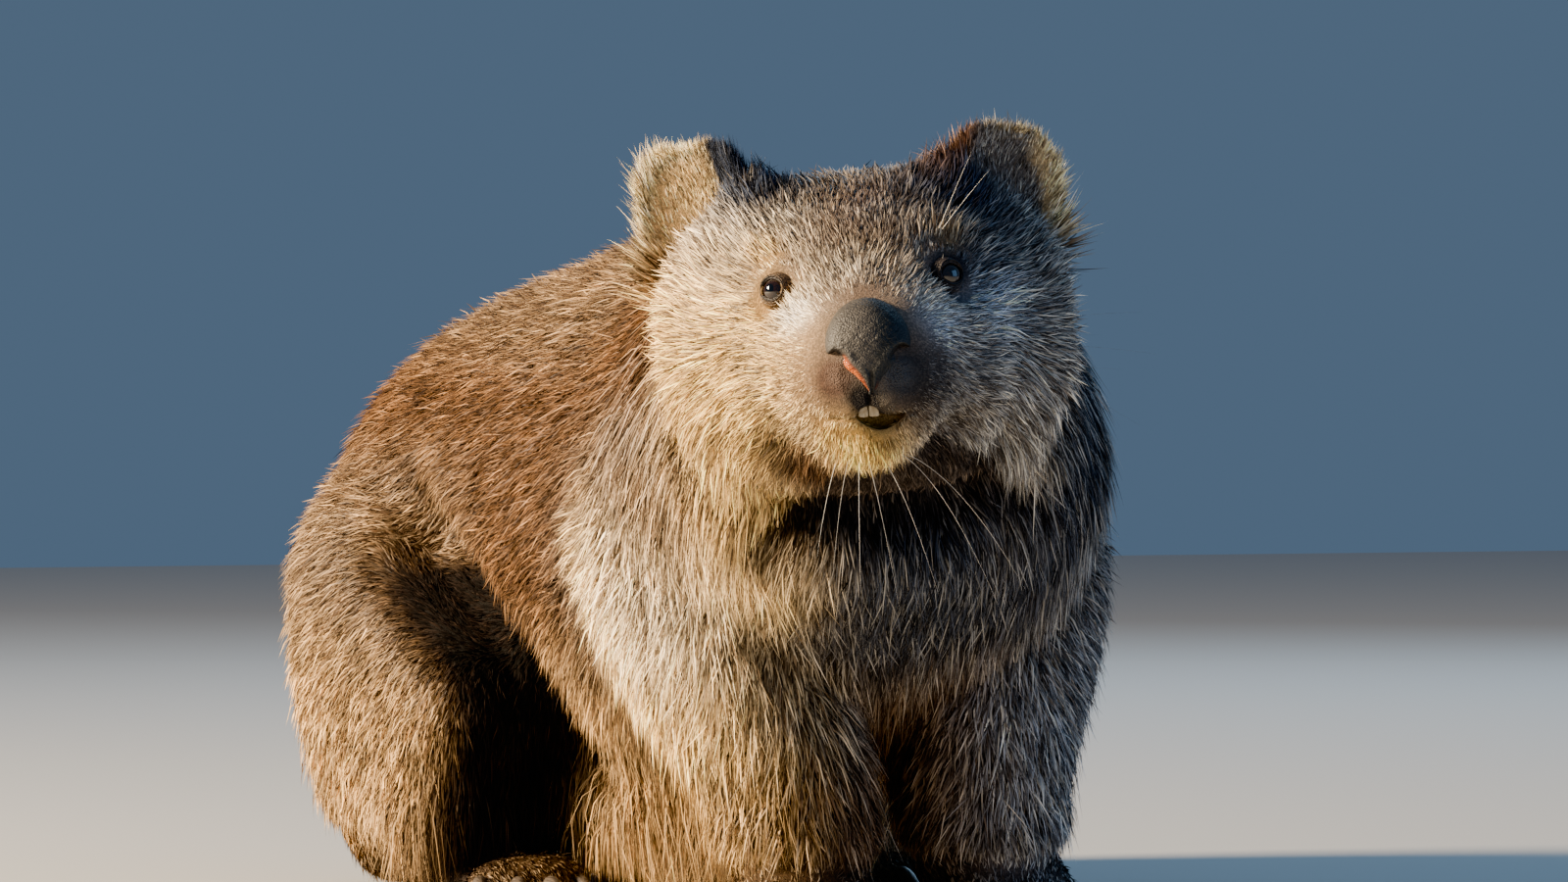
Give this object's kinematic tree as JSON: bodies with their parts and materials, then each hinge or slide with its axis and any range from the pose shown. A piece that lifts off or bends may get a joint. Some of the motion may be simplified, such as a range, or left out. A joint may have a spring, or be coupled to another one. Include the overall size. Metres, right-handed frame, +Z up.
{
  "type": "common wombat",
  "caption": "Life-size still model of a common wombat crouched low on all fours, its head turned to its right and its mouth slightly open.",
  "frame": {"origin": "middle of the animal's footprint box, on the floor under the soles", "axes": "+Z up, +Y from head to rump along the body, +X to the animal's left"},
  "size_m": [0.346, 0.8056, 0.4092],
  "materials": {
    "coat": "coarse grey-brown fur",
    "face_coat": "short silvery grey-brown fur",
    "nose_skin": "granular, slightly moist",
    "eye": "wet gloss",
    "tooth": "worn enamel"
  },
  "bodies": {
    "root": {"torso": "coat", "neck": "coat", "tail": "coat", "head": "face_coat", "nose": "nose_skin", "incisors": "tooth", "eye_left": "eye", "eye_right": "eye", "ear_left": "face_coat", "ear_right": "face_coat", "foreleg_left": "coat", "foreleg_right": "coat", "hindleg_left": "coat", "hindleg_right": "coat", "forefoot_left": "coat", "forefoot_right": "coat", "hindfoot_left": "coat", "hindfoot_right": "coat"}
  },
  "joints": []
}
